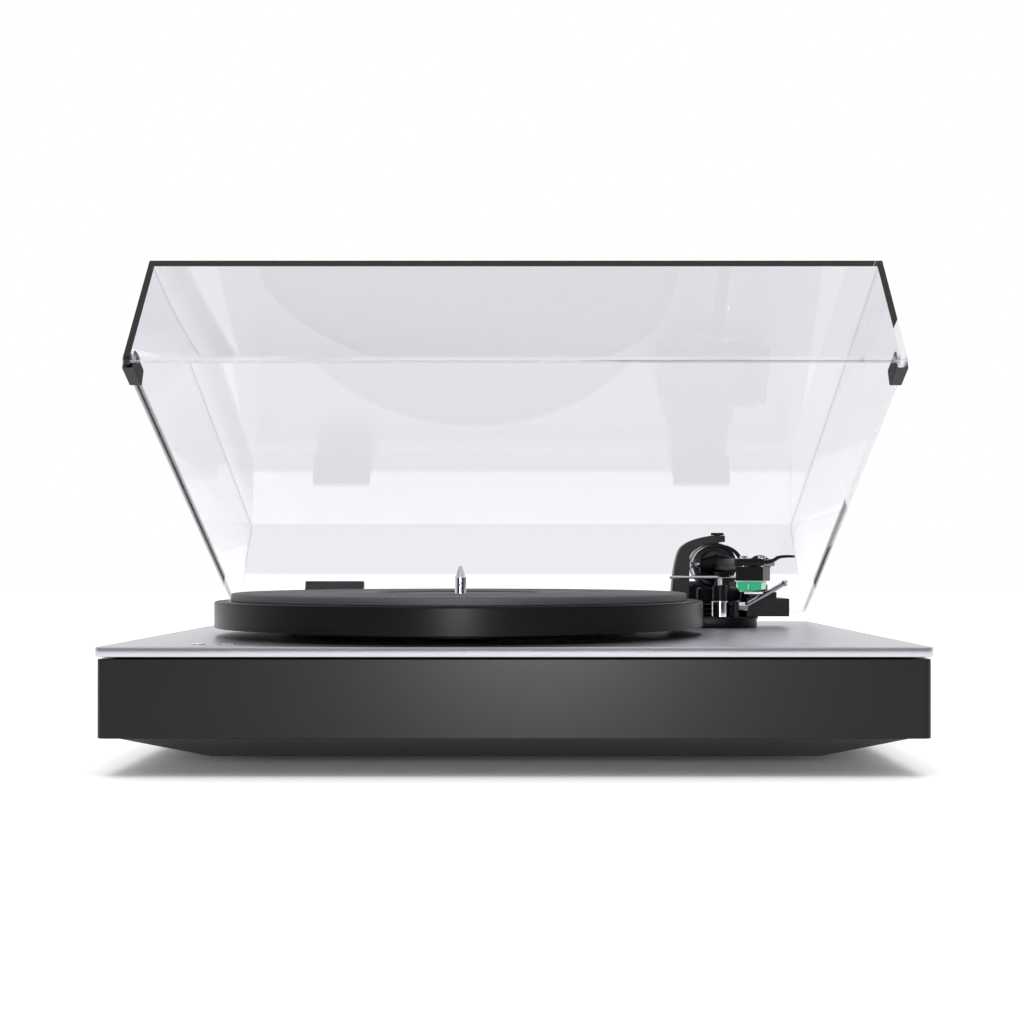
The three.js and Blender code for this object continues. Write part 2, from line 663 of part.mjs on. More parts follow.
function makeHeadshell() {
  const shape = new THREE.Shape();
  shape.moveTo(-4, 2);
  shape.lineTo(-slabWidth / 2, -6);
  shape.lineTo(-slabWidth / 2, slabFront + 2);
  shape.lineTo(-slabWidth / 2 + 2, slabFront);
  shape.lineTo(slabWidth / 2 - 2, slabFront);
  shape.lineTo(slabWidth / 2, slabFront + 2);
  shape.lineTo(slabWidth / 2, -6);
  shape.lineTo(4, 2);
  shape.closePath();
  const body = slab(shape, slabThickness, slabLow, 0.4);
  const lift = new THREE.Shape();
  lift.moveTo(0, 0);
  lift.quadraticCurveTo(5, 0.2, 7, 2.2);
  lift.quadraticCurveTo(9, 3.4, 17, 3);
  lift.lineTo(17, 1.6);
  lift.quadraticCurveTo(9, 1.8, 7.6, 0.6);
  lift.quadraticCurveTo(5, -1.8, 0, -2);
  lift.closePath();
  const liftSettings = { depth: 4, bevelEnabled: false, curveSegments: 5 };
  const finger = new THREE.ExtrudeGeometry(lift, liftSettings).rotateX(Math.PI / 2)
    .translate(slabWidth / 2 - 1, slabFront + 9, slabLow + slabThickness - 1);
  const neck = beamCylinder(neckRadius, -2, 8.5).rotateZ(-head.rotation.z);
  const bolts = [-1, 1].map((sign) => cylinder(boltRadius + gap, 20, sign * boltX, bodyMiddle, -10, 14));
  return cut(join(body, finger, neck), ...bolts);
}
place(head, 'headshell', makeHeadshell(), blackPlastic);

const bodyTop = slabLow - gap;
const bodyHeight = 8;
const bodyLow = bodyTop - bodyHeight;
const stylusHeight = 5.6;
const cartridge = block(15.5, 18, bodyHeight, 0, bodyMiddle, bodyLow);
const boltHoles = [-1, 1].map((sign) => (
  cylinder(boltRadius + gap, 6, sign * boltX, bodyMiddle, bodyTop - 5, 14)));
place(head, 'cartridge_body', cut(cartridge, ...boltHoles), blackPlastic);
for (const [side, sign] of [['left', -1], ['right', 1]]) {
  const stem = cylinder(boltRadius, 9.6, sign * boltX, bodyMiddle, bodyTop - 4.4, 14);
  const cap = cylinder(2.3, 1.4, sign * boltX, bodyMiddle, slabLow + slabThickness + gap, 16);
  place(head, `cartridge_screw_${side}`, join(stem, cap), chrome);
}

// The stylus holder narrows downwards towards the front.
function makeStylus() {
  const shape = new THREE.Shape();
  shape.moveTo(-7.2, 0);
  shape.lineTo(7.2, 0);
  shape.lineTo(6.6, 1 - stylusHeight);
  shape.quadraticCurveTo(0, -stylusHeight - 0.6, -6.2, 0.4 - stylusHeight);
  shape.closePath();
  const settings = { depth: 13, bevelEnabled: false, curveSegments: 8 };
  return toGeometry(toSolid(new THREE.ExtrudeGeometry(shape, settings).rotateX(Math.PI / 2)))
    .translate(0, bodyMiddle + 3.4, bodyLow - gap);
}
place(head, 'stylus_holder', makeStylus(), green);
const guardTop = bodyLow - stylusHeight - 2 * gap;
const guardLow = matTop + 0.5 - armAxisZ;
const guard = block(9, 8, guardTop - guardLow, 1, bodyMiddle - 3, guardLow);
place(head, 'stylus_guard', guard, white);

// The cantilever runs forward and down from its seat in the holder's notch.
const seat = [0, bodyMiddle - 10.2, bodyLow - 2];
const tip = [0, bodyMiddle - 12.4, bodyLow - 4.6];
place(head, 'cantilever', rod(seat, tip, 0.4, 8), chrome);

export default turntable;
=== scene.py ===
import math
import json
import bpy
import bmesh
import numpy as np
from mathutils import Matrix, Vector


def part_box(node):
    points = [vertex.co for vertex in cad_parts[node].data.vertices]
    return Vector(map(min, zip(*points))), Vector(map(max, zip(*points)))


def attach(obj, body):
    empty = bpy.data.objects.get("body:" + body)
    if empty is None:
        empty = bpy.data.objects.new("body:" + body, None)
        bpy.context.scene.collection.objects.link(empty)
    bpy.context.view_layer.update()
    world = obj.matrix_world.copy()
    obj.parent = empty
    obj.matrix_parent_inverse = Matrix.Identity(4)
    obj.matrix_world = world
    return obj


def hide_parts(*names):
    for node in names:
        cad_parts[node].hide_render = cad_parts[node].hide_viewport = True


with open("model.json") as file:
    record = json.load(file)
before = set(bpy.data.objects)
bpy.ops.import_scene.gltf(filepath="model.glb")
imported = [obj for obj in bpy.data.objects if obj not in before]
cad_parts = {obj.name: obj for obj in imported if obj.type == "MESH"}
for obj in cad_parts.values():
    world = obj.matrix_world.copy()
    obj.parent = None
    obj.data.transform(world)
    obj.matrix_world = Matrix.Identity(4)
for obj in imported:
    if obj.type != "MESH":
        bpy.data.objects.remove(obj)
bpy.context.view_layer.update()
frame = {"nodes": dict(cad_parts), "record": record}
nodes = frame["nodes"]
joints = {joint["name"]: joint for joint in frame["record"]["behaviour"]["joints"]}
bodyOf = {node: body for body, names in frame["record"]["behaviour"]["bodies"].items() for node in names}
slotOf = {part["node"]: part["material_slot"] for part in frame["record"]["subparts"]}
mm = 0.001
print("frame loaded:", len(nodes), "nodes")


# the lengths of a table of millimetres, in metres
def metres(look):
    return {key: value * mm for key, value in look.items() if isinstance(value, (int, float))}


# sRGB hex to linear: each channel c becomes c/12.92 when small, else ((c + 0.055) / 1.055) ^ 2.4
def hexColour(code, alpha=1.0):
    channels = [int(code[i:i + 2], 16) / 255 for i in (1, 3, 5)]
    linear = [c / 12.92 if c <= 0.04045 else ((c + 0.055) / 1.055) ** 2.4 for c in channels]
    return (*linear, alpha)


# adds one node, sets its properties and sockets, and links what is given as a socket;
# a socket is named by its label with _ for a space, or by its place as i0, i1 and so on
def addNode(tree, kind, settings=None, **sockets):
    node = tree.nodes.new(kind)
    for key, value in (settings or {}).items():
        setattr(node, key, value)
    for key, value in sockets.items():
        socket = node.inputs[int(key[1:]) if key[0] == "i" and key[1:].isdigit() else key.replace("_", " ")]
        if isinstance(value, bpy.types.NodeSocket):
            tree.links.new(value, socket)
        else:
            socket.default_value = value
    return node


def newMaterial(name):
    material = bpy.data.materials.new(name)
    material.use_nodes = True
    material.node_tree.nodes.clear()
    return material, material.node_tree


# a moulded, painted or machined surface: noise sets small changes of tone, gloss and height;
# a glow grows with the distance from the object, for the floor only
def surfaceMaterial(name, base, second, rough, roughSpread, metallic=0.0, grainMm=0.6, bumpMm=0.01,
                    stretch=(1, 1, 1), coat=0.0, ior=1.5, glow=None):
    material, tree = newMaterial(name)
    coords = addNode(tree, "ShaderNodeTexCoord").outputs["Object"]
    mapping = addNode(tree, "ShaderNodeMapping", Vector=coords, Scale=stretch)
    fine = addNode(tree, "ShaderNodeTexNoise", Vector=mapping.outputs[0], Scale=1 / (grainMm * mm),
                   Detail=4.0, Roughness=0.55)
    broad = addNode(tree, "ShaderNodeTexNoise", Vector=coords, Scale=28.0, Detail=3.0, Roughness=0.5)
    tone = addNode(tree, "ShaderNodeMix", {"data_type": "RGBA"}, i0=broad.outputs["Fac"],
                   i6=hexColour(base), i7=hexColour(second))
    gloss = addNode(tree, "ShaderNodeMapRange", Value=fine.outputs["Fac"], i3=rough - roughSpread,
                    i4=rough + roughSpread)
    bump = addNode(tree, "ShaderNodeBump", Height=fine.outputs["Fac"], Strength=0.6, Distance=bumpMm * mm)
    shader = addNode(tree, "ShaderNodeBsdfPrincipled", Base_Color=tone.outputs[2], Roughness=gloss.outputs[0],
                     Metallic=metallic, Normal=bump.outputs[0], IOR=ior, Coat_Weight=coat, Coat_Roughness=0.1)
    if glow:
        away = addNode(tree, "ShaderNodeVectorMath", {"operation": "LENGTH"}, i0=coords)
        level = addNode(tree, "ShaderNodeMapRange", Value=away.outputs["Value"], i1=glow["from"],
                        i2=glow["to"], i3=glow["near"], i4=glow["far"])
        shader.inputs["Emission Color"].default_value = (1, 1, 1, 1)
        tree.links.new(level.outputs[0], shader.inputs["Emission Strength"])
    addNode(tree, "ShaderNodeOutputMaterial", Surface=shader.outputs[0])
    return material


coverLook = {"openDegrees": 25.3, "tint": "#f2f0f4", "shadowTint": "#f7f6f9", "haze": 0.03, "paleRim": 0.65,
             "fadeBelow": 6, "fadeAbove": 2, "rimFrom": 1.5, "rimTo": 4}


# cast acrylic sheet, polished: clear with a faint lavender tint, lets shadow rays through;
# the sawn rim is partly mixed with clear below the bumpers, because its facets would look black
def acrylicMaterial(name):
    material, tree = newMaterial(name)
    size = metres(coverLook)
    coords = addNode(tree, "ShaderNodeTexCoord").outputs["Object"]
    haze = addNode(tree, "ShaderNodeTexNoise", Vector=coords, Scale=60.0, Detail=3.0)
    gloss = addNode(tree, "ShaderNodeMapRange", Value=haze.outputs["Fac"], i3=0.0, i4=coverLook["haze"])
    shader = addNode(tree, "ShaderNodeBsdfPrincipled", Base_Color=hexColour(coverLook["tint"]),
                     Roughness=gloss.outputs[0], IOR=1.49, Transmission_Weight=1.0)
    clear = addNode(tree, "ShaderNodeBsdfTransparent", Color=hexColour(coverLook["shadowTint"]))
    path = addNode(tree, "ShaderNodeLightPath")
    height = addNode(tree, "ShaderNodeSeparateXYZ", Vector=coords).outputs["Z"]
    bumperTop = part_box("bumper_left")[1][2]
    below = addNode(tree, "ShaderNodeMapRange", Value=height, i1=bumperTop - size["fadeBelow"],
                    i2=bumperTop + size["fadeAbove"], i3=coverLook["paleRim"], i4=0.0)
    opening = math.radians(coverLook["openDegrees"])
    upright = (0.0, math.sin(opening), math.cos(opening))
    rim = min(Vector(upright).dot(v.co) for v in nodes["dust_cover"].data.vertices)
    aboveRim = addNode(tree, "ShaderNodeVectorMath", {"operation": "DOT_PRODUCT"}, i0=coords, i1=upright)
    near = addNode(tree, "ShaderNodeMapRange", Value=aboveRim.outputs["Value"], i1=rim + size["rimFrom"],
                   i2=rim + size["rimTo"], i3=1.0, i4=0.0)
    pale = addNode(tree, "ShaderNodeMath", {"operation": "MULTIPLY"}, i0=below.outputs[0], i1=near.outputs[0])
    share = addNode(tree, "ShaderNodeMath", {"operation": "MAXIMUM"}, i0=path.outputs["Is Shadow Ray"],
                    i1=pale.outputs[0])
    mixed = addNode(tree, "ShaderNodeMixShader", i0=share.outputs[0], i1=shader.outputs[0],
                    i2=clear.outputs[0])
    addNode(tree, "ShaderNodeOutputMaterial", Surface=mixed.outputs[0])
    return material


# the grain of paint, blasting and moulded skins is nearer 0.1 mm: it is drawn three to five times as coarse,
# so that it shows at all

# sprayed satin paint on fibreboard: near black, with one soft wide highlight
charcoalPaint = surfaceMaterial("satinCharcoalPaint", "#0b0a0d", "#0e0d10", 0.31, 0.04, grainMm=0.5,
                                bumpMm=0.012, ior=1.32)
# blasted with fine beads and anodised: an even pale grey that blurs what it mirrors
anodised = surfaceMaterial("bead-blastedAluminium", "#bfbec4", "#c5c4ca", 0.34, 0.05, metallic=1.0,
                           grainMm=0.35, bumpMm=0.01)
# thin satin paint over turned metal: black with a faint sheen on round sides
blackPaint = surfaceMaterial("satinBlackPaintedAluminium", "#0b0a0c", "#0e0d0f", 0.32, 0.05, grainMm=0.4,
                             bumpMm=0.012, ior=1.2)
# moulded with a fine eroded skin: deep black that only shines along its edges
blackAbs = surfaceMaterial("mouldedBlackAbs", "#070608", "#0a090b", 0.36, 0.07, grainMm=0.5, bumpMm=0.015,
                           ior=1.24)
# moulded with a coarser skin: a dull charcoal
moulding = surfaceMaterial("mouldedCharcoalAbs", "#2c2a2d", "#302e31", 0.5, 0.06, grainMm=0.8, bumpMm=0.02)
# moulded rubber: dull, with hardly a highlight
rubberMat = surfaceMaterial("mouldedRubber", "#29282b", "#2e2d30", 0.72, 0.06, grainMm=0.5, bumpMm=0.02)
# rubber mat: a lighter, dusty black that catches the light on its ribs
matRubber = surfaceMaterial("ribbedRubberMat", "#38373b", "#3e3d41", 0.55, 0.05, bumpMm=0.02)
# polished chrome on steel: a mirror with a trace of haze
chromePlate = surfaceMaterial("polishedChromePlate", "#d8d8dc", "#dedee2", 0.1, 0.04, metallic=1.0,
                              grainMm=0.8, bumpMm=0.002)
# polished black nickel: a dark mirror that shows the studio only as thin streaks
blackNickel = surfaceMaterial("polishedBlackNickelPlate", "#34333a", "#3a3940", 0.12, 0.04, metallic=1.0,
                              grainMm=0.8, bumpMm=0.002)
# turned on a lathe: warm yellow with fine rings
brassTurned = surfaceMaterial("turnedBrass", "#c79a45", "#cfa24f", 0.25, 0.06, metallic=1.0, grainMm=0.4,
                              bumpMm=0.006, stretch=(1, 1, 8))
# moulded and unpainted: a strong green under a clear gloss
greenPlastic = surfaceMaterial("mouldedGreenPolycarbonate", "#0c9566", "#14a371", 0.28, 0.05, bumpMm=0.006,
                               coat=0.3)
# moulded white guard: even and soft
whitePlastic = surfaceMaterial("mouldedWhiteAbs", "#ecebee", "#f2f1f4", 0.4, 0.05)
# solder mask over fibreboard: a flat dark green
boardFibre = surfaceMaterial("solderMaskedFibreboard", "#1f5036", "#24583d", 0.4, 0.08)
acrylic = acrylicMaterial("polishedCastAcrylic")
print("materials made")

finishes = {"charcoal_paint": charcoalPaint, "satin_aluminium": anodised, "black_plastic": blackAbs,
            "black_metal": blackPaint, "black_tube": blackPaint, "rubber": rubberMat, "chrome": chromePlate,
            "brass": brassTurned, "clear_acrylic": acrylic, "green_plastic": greenPlastic,
            "white_plastic": whitePlastic, "board": boardFibre}


# a mesh object at the origin that rides on a body
def makePiece(name, vertices, faces, material, body, smoothAngle=35):
    mesh = bpy.data.meshes.new(name)
    mesh.from_pydata(vertices, [], faces)
    return finishPiece(name, mesh, material, body, smoothAngle)


# joins doubled corners, shades smooth up to an angle, and says which body and slot the piece has
def finishPiece(name, mesh, material, body, smoothAngle=35):
    shape = bmesh.new()
    shape.from_mesh(mesh)
    bmesh.ops.remove_doubles(shape, verts=shape.verts, dist=0.002 * mm)
    bmesh.ops.recalc_face_normals(shape, faces=shape.faces)
    shape.to_mesh(mesh)
    shape.free()
    mesh.shade_smooth()
    mesh.set_sharp_from_angle(angle=math.radians(smoothAngle))
    piece = bpy.data.objects.new(name, mesh)
    bpy.context.collection.objects.link(piece)
    mesh.materials.clear()
    mesh.materials.append(material)
    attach(piece, body)
    return piece


# each corner of a profile becomes a quadratic curve that starts and ends at most radius away from it
def softened(profile, radius, steps=4):
    points = np.array(profile, float)
    before, corner, after = points[:-2], points[1:-1], points[2:]
    reachIn = np.linalg.norm(before - corner, axis=1, keepdims=True)
    reachOut = np.linalg.norm(after - corner, axis=1, keepdims=True)
    start = corner + (before - corner) / reachIn * np.minimum(radius, reachIn * 0.45)
    end = corner + (after - corner) / reachOut * np.minimum(radius, reachOut * 0.45)
    t = np.linspace(0, 1, steps + 1)[None, :, None]
    arcs = (1 - t) ** 2 * start[:, None] + 2 * t * (1 - t) * corner[:, None] + t ** 2 * end[:, None]
    return np.vstack([points[:1], arcs.reshape(-1, 2), points[-1:]])


# point (i, j) = centre + radius_i (cos a_j, sin a_j) across the axis + height_i along it
def turnedPiece(name, profile, centre, material, body, axis=(0, 0, 1), sides=96, closed=False,
                soft=0.3):
    rows = softened(profile, soft * mm) if soft else np.array(profile, float)
    if closed:
        rows = rows[:-1]
    along = np.array(axis, float) / np.linalg.norm(axis)
    first = np.cross(along, (0, 0, 1)) if abs(along[2]) < 0.9 else np.array((1.0, 0, 0))
    first = first / np.linalg.norm(first)
    second = np.cross(along, first)
    angle = np.linspace(0, 2 * math.pi, sides, endpoint=False)
    circle = np.cos(angle)[:, None] * first + np.sin(angle)[:, None] * second
    grid = np.array(centre) + rows[:, 0][:, None, None] * circle + rows[:, 1][:, None, None] * along
    count = len(rows)
    last = count if closed else count - 1
    i, j = np.meshgrid(np.arange(last), np.arange(sides), indexing="ij")
    down, right = (i + 1) % count, (j + 1) % sides
    quads = np.stack([i * sides + j, i * sides + right, down * sides + right, down * sides + j], -1)
    return makePiece(name, grid.reshape(-1, 3).tolist(), quads.reshape(-1, 4).tolist(), material, body)


# the CAD solid's own shape with its corners eased
def easedCopy(node, width, material=None, segments=2, angle=40):
    mesh = nodes[node].data.copy()
    shape = bmesh.new()
    shape.from_mesh(mesh)
    bmesh.ops.remove_doubles(shape, verts=shape.verts, dist=0.002 * mm)
    bmesh.ops.dissolve_limit(shape, angle_limit=math.radians(1), verts=shape.verts, edges=shape.edges)
    shape.to_mesh(mesh)
    shape.free()
    piece = finishPiece(node + "_eased", mesh, material or finishes[slotOf[node]], bodyOf[node])
    bevel = piece.modifiers.new("easedEdges", "BEVEL")
    bevel.width = width * mm
    bevel.segments = segments
    bevel.limit_method = "ANGLE"
    bevel.angle_limit = math.radians(angle)
    bevel.harden_normals = False
    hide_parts(node)


# centre, lowest and highest corner of a CAD node's box
def middle(node):
    low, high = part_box(node)
    return [(a + b) / 2 for a, b in zip(low, high)], low, high


platterLook = {"height": 15.6, "topThickness": 6, "lip": 0.7, "lipDrop": 0.9, "bore": 5.3, "bossRadius": 18,
               "bossHeight": 12, "ringRadius": 112, "ringWall": 5, "skirtWall": 12, "edge": 0.5, "sides": 160}


# turned platter: skirt, chamfered lip and belt ring as one profile turned about the spindle
def makePlatter():
    centre, low, high = middle("platter")
    size = metres(platterLook)
    outer, top = (high[0] - low[0]) / 2, high[2]
    skirtLow, under, bossLow = top - size["height"], top - size["topThickness"], top - size["bossHeight"]
    bore, boss, ring = size["bore"], size["bossRadius"], size["ringRadius"]
    ringInner, skirtInner = ring - size["ringWall"], outer - size["skirtWall"]
    profile = [(outer, skirtLow), (outer, top - size["lipDrop"]), (outer - size["lip"], top), (bore, top),
               (bore, bossLow), (boss, bossLow), (boss, under), (ringInner, under), (ringInner, low[2]),
               (ring, low[2]), (ring, under), (skirtInner, under), (skirtInner, skirtLow), (outer, skirtLow)]
    piece = turnedPiece("platter_turned", profile, (centre[0], centre[1], 0), blackPaint, bodyOf["platter"],
                        sides=platterLook["sides"], closed=True, soft=platterLook["edge"])
    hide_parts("platter")


matLook = {"grooves": 34, "grooveDepth": 0.16, "grooveMargin": 5, "groovesTo": 93, "edgeDrop": 1.2, "edgeIn": 1,
           "shoulderDrop": 0.3, "shoulderIn": 4, "bandOuter": 92, "bandInner": 80, "bandSlope": 1,
           "bandDrop": 0.5, "labelRadius": 51.5, "labelSlope": 1, "recess": 1.0, "bore": 4.15, "sides": 128}


# mat top: height drops by depth (1 - cos a) / 2 over each fine concentric groove, then by steps at a
# shallow band and at the label recess
def makeMat():
    centre, low, high = middle("mat")
    size = metres(matLook)
    outer, top, bottom, bore = (high[0] - low[0]) / 2, high[2], low[2], size["bore"]
    edge = [(outer, bottom), (outer, top - size["edgeDrop"]),
            (outer - size["edgeIn"], top - size["shoulderDrop"]), (outer - size["shoulderIn"], top)]
    count = matLook["grooves"]
    radii = np.linspace(outer - size["grooveMargin"], size["groovesTo"], count * 4 + 1)
    turns = 2 * math.pi * np.linspace(0, count, len(radii))
    dips = top - size["grooveDepth"] * (1 - np.cos(turns)) / 2
    bandTop, recessed = top - size["bandDrop"], top - size["recess"]
    inner = [(size["bandOuter"], top), (size["bandOuter"] - size["bandSlope"], bandTop),
             (size["bandInner"] + size["bandSlope"], bandTop), (size["bandInner"], top),
             (size["labelRadius"] + size["labelSlope"], top), (size["labelRadius"], recessed),
             (bore, recessed), (bore, bottom), (outer, bottom)]
    profile = edge + list(zip(radii, dips)) + inner
    piece = turnedPiece("mat_moulded", profile, (centre[0], centre[1], 0), matRubber, bodyOf["mat"],
                        sides=matLook["sides"], closed=True, soft=0)
    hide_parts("mat")


spindleLook = {"shaftRadius": 5, "radius": 3.55, "shoulderDrop": 0.2, "aboveMat": 9, "coneInset": 0.35,
               "coneRise": 0.5, "tipRadius": 1.1, "tipDrop": 0.5}


# ground spindle: shaft, a shoulder just under the platter's top, and a blunt cone above the mat
def makeSpindle():
    centre, low, high = middle("spindle")
    size = metres(spindleLook)
    shaft, r, top = size["shaftRadius"], size["radius"], high[2]
    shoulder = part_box("platter")[1][2] - size["shoulderDrop"]
    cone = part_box("mat")[1][2] + size["aboveMat"]
    profile = [(0, low[2]), (shaft, low[2]), (shaft, shoulder), (r, shoulder), (r, cone),
               (r - size["coneInset"], cone + size["coneRise"]), (size["tipRadius"], top - size["tipDrop"]),
               (0, top)]
    piece = turnedPiece("spindle_ground", profile, (centre[0], centre[1], 0), chromePlate,
                        bodyOf["spindle"], sides=64, soft=0.3)
    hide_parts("spindle")


footLook = {"dish": 0.6, "dishRadius": 6, "dishSlope": 1, "chamfer": 1.5}


# round feet with a chamfered edge and a shallow dish underneath
def makeFeet():
    size = metres(footLook)
    for node in (f"foot_{end}_{side}" for end in ("front", "rear") for side in ("left", "right")):
        centre, low, high = middle(node)
        r, floor, chamfer = (high[0] - low[0]) / 2, low[2], size["chamfer"]
        profile = [(0, floor + size["dish"]), (size["dishRadius"], floor + size["dish"]),
                   (size["dishRadius"] + size["dishSlope"], floor), (r - chamfer, floor),
                   (r, floor + chamfer), (r, high[2]), (0, high[2])]
        piece = turnedPiece(node + "_moulded", profile, (centre[0], centre[1], 0), rubberMat, bodyOf[node],
                            sides=64)
        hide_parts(node)


columnLook = {"ridges": 3, "ridgeDepth": 1.3, "ridgeSlope": 0.3, "plungerBore": 1.8}


# upright cylinders of the arm base: the ridged collar, then the lift's barrel and sleeve
def makeArmColumns():
    size = metres(columnLook)
    centre, low, high = middle("arm_collar")
    r, pitch = (high[0] - low[0]) / 2, (high[2] - low[2]) / columnLook["ridges"]
    waist, slope = r - size["ridgeDepth"], size["ridgeSlope"]
    profile = [(0, low[2])]
    for i in range(columnLook["ridges"]):
        z = low[2] + i * pitch
        profile += [(r, z), (r, z + pitch / 2), (waist, z + pitch / 2 + slope), (waist, z + pitch - slope)]
    profile += [(waist, high[2]), (0, high[2])]
    piece = turnedPiece("arm_collar_turned", profile, (centre[0], centre[1], 0), blackNickel,
                        bodyOf["arm_collar"], sides=96, soft=0.35)
    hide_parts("arm_collar")
    for node, material in (("lift_cylinder", chromePlate), ("lift_sleeve", blackAbs)):
        centre, low, high = middle(node)
        r, bore = (high[0] - low[0]) / 2, size["plungerBore"]
        profile = [(r, low[2]), (r, high[2]), (bore, high[2]), (bore, low[2]), (r, low[2])]
        piece = turnedPiece(node + "_turned", profile, (centre[0], centre[1], 0), material, bodyOf[node],
                            sides=64, closed=True, soft=0.4)
        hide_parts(node)


armLook = {"yawDegrees": 1.0, "stubBore": 4.1}
weightLook = {"chamfer": 1.5, "grooveFrom": 6, "grooveTo": 4, "grooveSlope": 0.6, "grooveDepth": 0.8,
              "rearChamfer": 1, "dialCone": 2}
knurlLook = {"ridges": 5, "ridgeDepth": 0.35, "margin": 0.6, "chamfer": 0.5, "bore": 3.0}


# the counterweight, its dial and the locking collar, turned along the arm's own axis
def makeArmRounds():
    pivot = np.array(joints["arm_tilt"]["pos_m"])
    yaw = math.radians(armLook["yawDegrees"])
    along = np.array([-math.sin(yaw), math.cos(yaw), 0])
    weight, knurling, bore = metres(weightLook), metres(knurlLook), armLook["stubBore"] * mm

    # nearest and farthest reach of a node behind the pivot, and its radius about the arm's axis
    def span(node):
        points = np.array([v.co for v in nodes[node].data.vertices]) - pivot
        reach = points @ along
        return reach.min(), reach.max(), np.linalg.norm(points - reach[:, None] * along, axis=1).max()

    def turnAlong(node, profile, material, sides, soft):
        piece = turnedPiece(node + "_turned", profile[::-1], pivot, material, bodyOf[node],
                            axis=along, sides=sides, closed=True, soft=soft)
        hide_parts(node)

    near, far, r = span("counterweight")
    chamfer, rear, waist = weight["chamfer"], weight["rearChamfer"], r - weight["grooveDepth"]
    front, back, slope = far - weight["grooveFrom"], far - weight["grooveTo"], weight["grooveSlope"]
    profile = [(bore, near), (r - chamfer, near), (r, near + chamfer), (r, front), (waist, front + slope),
               (waist, back - slope), (r, back), (r, far - rear), (r - rear, far), (bore, far), (bore, near)]
    turnAlong("counterweight", profile, blackPaint, 96, 0.3)

    near, far, r = span("counterweight_dial")
    cone = weight["dialCone"]
    profile = [(bore, near), (r - cone, near), (r, near + cone), (r, far), (bore, far), (bore, near)]
    turnAlong("counterweight_dial", profile, blackAbs, 96, 0.3)

    near, far, r = span("headshell_collar")
    ridges, margin, chamfer = knurlLook["ridges"], knurling["margin"], knurling["chamfer"]
    steps = np.linspace(near + margin, far - margin, ridges * 4 + 1)
    turns = 2 * math.pi * np.linspace(0, ridges, len(steps))
    knurl = r - knurling["ridgeDepth"] * (1 - np.cos(turns)) / 2
    bore = knurling["bore"]
    profile = [(bore, near), (r - chamfer, near)] + list(zip(knurl, steps))
    profile += [(r - chamfer, far), (bore, far), (bore, near)]
    turnAlong("headshell_collar", profile, blackPaint, 72, 0)


# every other solid keeps its own shape with eased corners, by how sharp the real piece is
easedWidths = {"plinth": 0.5, "bottom_pan": 1.2, "top_plate": 0.1, "dust_cover": 0.45, "bumper_left": 0.7,
               "bumper_right": 0.7, "terminal_panel": 0.3, "arm_base": 0.5, "arm_turret": 0.4,
               "arm_bridge": 0.8, "gimbal_ring": 0.25, "pivot_screw": 0.3, "hinge_leaf_left": 0.5,
               "hinge_leaf_right": 0.5, "hinge_base_left": 0.4, "hinge_base_right": 0.4, "headshell": 0.2,
               "cartridge_body": 0.4, "stylus_holder": 0.4, "stylus_guard": 0.2, "antiskate_knob": 0.5,
               "rest_clip": 0.3, "power_button": 0.3, "speed_button": 0.3, "output_switch": 0.3,
               "motor": 0.8, "ground_nut": 0.3, "power_inlet": 0.3, "circuit_board": 0.2}
ownFinish = {"bottom_pan": moulding, "gimbal_ring": blackNickel}


# a round wire: circles of a radius carried along the quadratic curve
# p(t) = (1 - t)^2 start + 2 t (1 - t) control + t^2 end
def makeWire(name, start, control, end, radius, material, body, steps=12, sides=10):
    t = np.linspace(0, 1, steps)[:, None]
    start, control, end = (np.array(p, float) for p in (start, control, end))
    line = (1 - t) ** 2 * start + 2 * t * (1 - t) * control + t ** 2 * end
    tangent = 2 * (1 - t) * (control - start) + 2 * t * (end - control)
    tangent /= np.linalg.norm(tangent, axis=1, keepdims=True)
    side = np.cross(tangent, (0.3, 0.2, 1.0))
    side /= np.linalg.norm(side, axis=1, keepdims=True)
    up = np.cross(side, tangent)
    angle = np.linspace(0, 2 * math.pi, sides, endpoint=False)
    rings = line[:, None] + radius * (np.cos(angle)[None, :, None] * side[:, None]
                                      + np.sin(angle)[None, :, None] * up[:, None])
    i, j = np.meshgrid(np.arange(steps - 1), np.arange(sides), indexing="ij")
    right = (j + 1) % sides
    quads = np.stack([i * sides + j, i * sides + right, (i + 1) * sides + right, (i + 1) * sides + j], -1)
    faces = quads.reshape(-1, 4).tolist()
    faces += [list(range(sides))[::-1], list(range((steps - 1) * sides, steps * sides))]
    return makePiece(name, rings.reshape(-1, 3).tolist(), faces, material, body)


leadLook = {"radius": 0.35, "pitch": 2.6, "aside": 2.6, "backInset": 2.2, "buried": 2.5, "bow": 8, "sag": 2,
            "neckAside": 4.2, "neckInset": 7, "neckRise": 1.2}
leadColours = ("#b32a24", "#2b7a3c", "#2a4fa0", "#e8e8ea")
startSpread, neckSpread = 0.9, 0.4


# four cartridge leads run from the back of the cartridge up to the headshell's neck
def makeLeads():
    size = metres(leadLook)
    centre, low, high = middle("cartridge_body")
    headLow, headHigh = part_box("headshell")
    x, backY, z = centre[0] + size["aside"], high[1] - size["backInset"], centre[2]
    for i, code in enumerate(leadColours):
        shift = (i - 1.5) * size["pitch"]
        sleeve = surfaceMaterial(f"leadSleeve{i + 1}", code, code, 0.4, 0.05)
        start = (x + shift * startSpread, backY - size["buried"], z)
        control = (x + shift, backY + size["bow"], z - size["sag"])
        end = (x + size["neckAside"] + shift * neckSpread, headHigh[1] - size["neckInset"],
               headLow[2] + size["neckRise"])
        makeWire(f"cartridge_lead_{i + 1}", start, control, end, size["radius"], sleeve,
                 bodyOf["headshell"])


